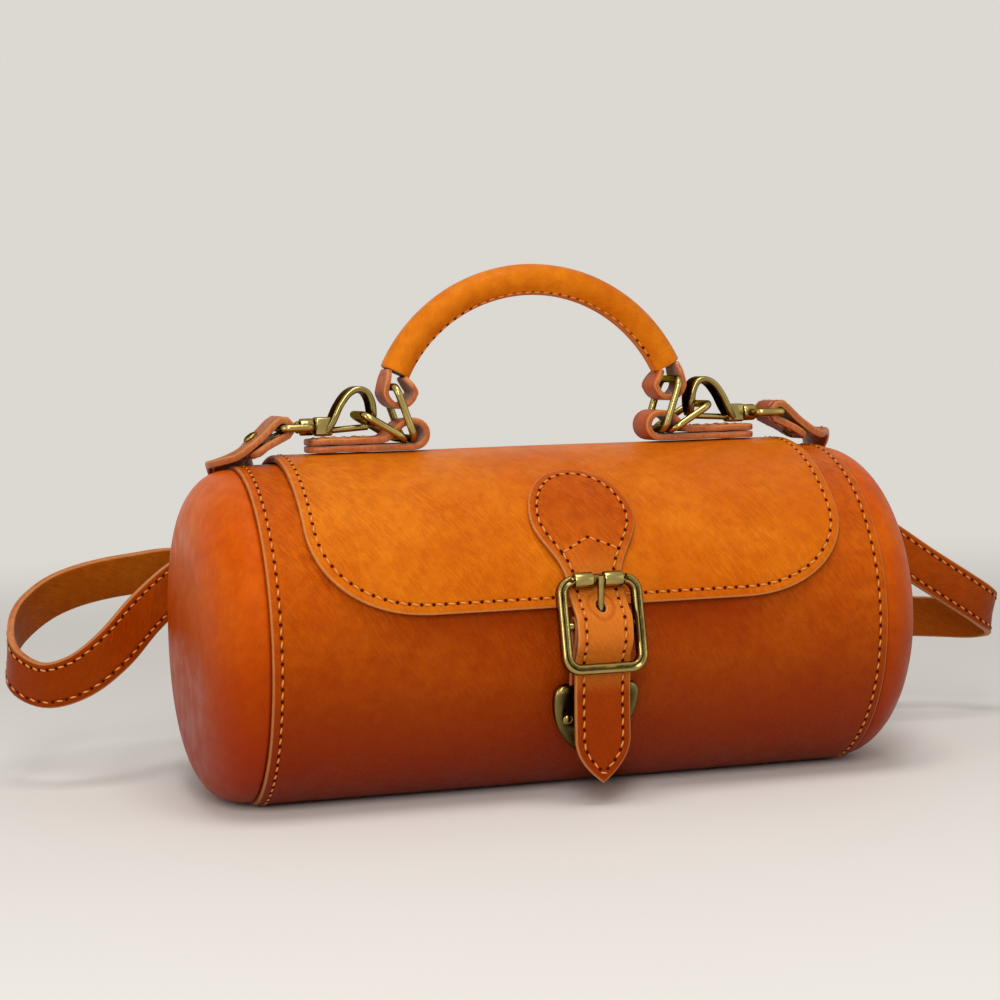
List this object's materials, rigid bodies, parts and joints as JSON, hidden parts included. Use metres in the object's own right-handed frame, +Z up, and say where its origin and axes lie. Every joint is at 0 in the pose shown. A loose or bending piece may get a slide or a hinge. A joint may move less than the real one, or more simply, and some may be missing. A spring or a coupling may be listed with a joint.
{
  "type": "barrel satchel",
  "caption": "Barrel-shaped leather satchel with moulded end caps, a buckled flap, a ringed carrying handle and a shoulder strap on snap hooks.",
  "frame": {"origin": "middle of the flat that the bag rests on", "axes": "+Z up, +X along the barrel, -Y out of the front where the buckle is"},
  "size_m": [0.384, 0.191, 0.1779],
  "materials": {
    "leather": "smooth waxed",
    "antique_brass": "aged satin",
    "cord_core": "twisted cord"
  },
  "bodies": {
    "bag": {"body_panel": "leather", "end_cap_left": "leather", "end_cap_right": "leather", "flap_back": "leather", "clasp_base": "antique_brass", "anchor_tab_left": "leather", "anchor_tab_right": "leather", "shoulder_strap": "leather", "strap_eye_left": "antique_brass", "strap_eye_right": "antique_brass", "strap_rivet_left": "antique_brass", "strap_rivet_right": "antique_brass"},
    "flap": {"flap_front": "leather", "closure_strap": "leather", "buckle_frame": "antique_brass", "chape": "leather", "clasp_tip": "antique_brass", "clasp_rivet_left": "antique_brass", "clasp_rivet_right": "antique_brass"},
    "roller": {"buckle_roller": "antique_brass"},
    "prong": {"buckle_prong": "antique_brass"},
    "handle_ring_left": {"handle_ring_left": "antique_brass"},
    "handle_ring_right": {"handle_ring_right": "antique_brass"},
    "handle": {"handle_grip": "leather", "handle_core": "cord_core", "handle_loop_left": "leather", "handle_loop_right": "leather"},
    "strap_ring_left": {"strap_ring_left": "antique_brass"},
    "strap_ring_right": {"strap_ring_right": "antique_brass"},
    "hook_left": {"hook_body_left": "antique_brass", "gate_pin_left": "antique_brass"},
    "hook_right": {"hook_body_right": "antique_brass", "gate_pin_right": "antique_brass"},
    "gate_left": {"hook_gate_left": "antique_brass"},
    "gate_right": {"hook_gate_right": "antique_brass"}
  },
  "joints": [
    {"name": "flap_hinge", "type": "hinge", "parent": "bag", "child": "flap", "pos_m": [0, -0.0118, 0.11403], "axis": [-1, 0, 0], "range_deg": [0, 100]},
    {"name": "roller_spin", "type": "hinge", "parent": "flap", "child": "roller", "pos_m": [0, -0.06271, 0.07357], "axis": [1, 0, 0], "continuous": true},
    {"name": "prong_pivot", "type": "hinge", "parent": "flap", "child": "prong", "pos_m": [0, -0.06435, 0.0591], "axis": [1, 0, 0], "range_deg": [0, 7]},
    {"name": "ring_left_swing", "type": "hinge", "parent": "bag", "child": "handle_ring_left", "pos_m": [-0.0452, 0, 0.1194], "axis": [0, 1, 0], "range_deg": [-5, 5]},
    {"name": "handle_sway", "type": "hinge", "parent": "handle_ring_left", "child": "handle", "pos_m": [-0.05126, 0, 0.13699], "axis": [0, 1, 0], "range_deg": [-5, 5]},
    {"name": "ring_right_swing", "type": "hinge", "parent": "bag", "child": "handle_ring_right", "pos_m": [0.0452, 0, 0.1194], "axis": [0, 1, 0], "range_deg": [-5.5, 5.5]},
    {"name": "strap_ring_left_tilt", "type": "hinge", "parent": "bag", "child": "strap_ring_left", "pos_m": [-0.0483, 0, 0.1194], "axis": [0, 1, 0], "range_deg": [-6, 10]},
    {"name": "strap_ring_right_tilt", "type": "hinge", "parent": "bag", "child": "strap_ring_right", "pos_m": [0.0483, 0, 0.1194], "axis": [0, -1, 0], "range_deg": [-6, 10]},
    {"name": "hook_left_swivel", "type": "hinge", "parent": "bag", "child": "hook_left", "pos_m": [-0.07504, 0, 0.1243], "axis": [1, 0, 0], "range_deg": [-8, 8]},
    {"name": "hook_right_swivel", "type": "hinge", "parent": "bag", "child": "hook_right", "pos_m": [0.07504, 0, 0.1243], "axis": [1, 0, 0], "range_deg": [-8, 8]},
    {"name": "gate_left_open", "type": "hinge", "parent": "hook_left", "child": "gate_left", "pos_m": [-0.07384, 0, 0.1228], "axis": [0, -1, 0], "range_deg": [0, 6], "stiffness_Nm_per_rad": 0.02, "springref_deg": -5.73},
    {"name": "gate_right_open", "type": "hinge", "parent": "hook_right", "child": "gate_right", "pos_m": [0.07384, 0, 0.1228], "axis": [0, 1, 0], "range_deg": [0, 6], "stiffness_Nm_per_rad": 0.02, "springref_deg": -5.73}
  ],
  "couplings": [
    {"joint": "handle_sway", "follows": "ring_left_swing", "ratio": -0.8819},
    {"joint": "ring_right_swing", "follows": "ring_left_swing", "ratio": 1}
  ]
}
